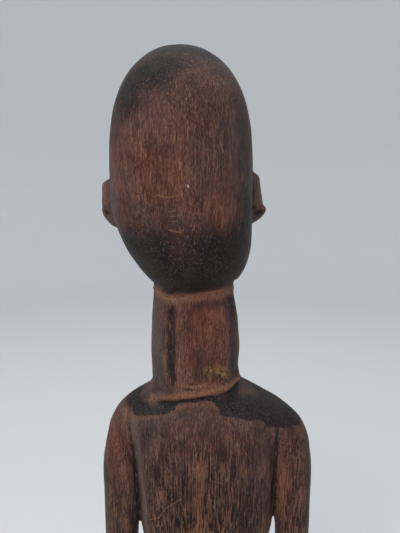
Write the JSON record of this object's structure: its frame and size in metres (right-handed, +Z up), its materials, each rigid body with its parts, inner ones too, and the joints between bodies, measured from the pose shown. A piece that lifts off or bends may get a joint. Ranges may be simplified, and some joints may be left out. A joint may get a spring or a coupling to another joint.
{
  "type": "carved bateba figure",
  "caption": "Standing carved wooden figure with a tall smooth head, block ears, faceted neck, free-hanging arms and bent legs on a low base of the same block.",
  "frame": {"origin": "centre of the base's flat underside", "axes": "+Z up; the figure faces -Y and its own left hand is at +X"},
  "size_m": [0.096, 0.088, 0.4],
  "materials": {
    "dark_wood": "dark oiled hardwood, open vertical grain, soot-black patina on the crown, nape and shoulders"
  },
  "bodies": {
    "root": {"figure": "dark_wood"}
  },
  "joints": []
}
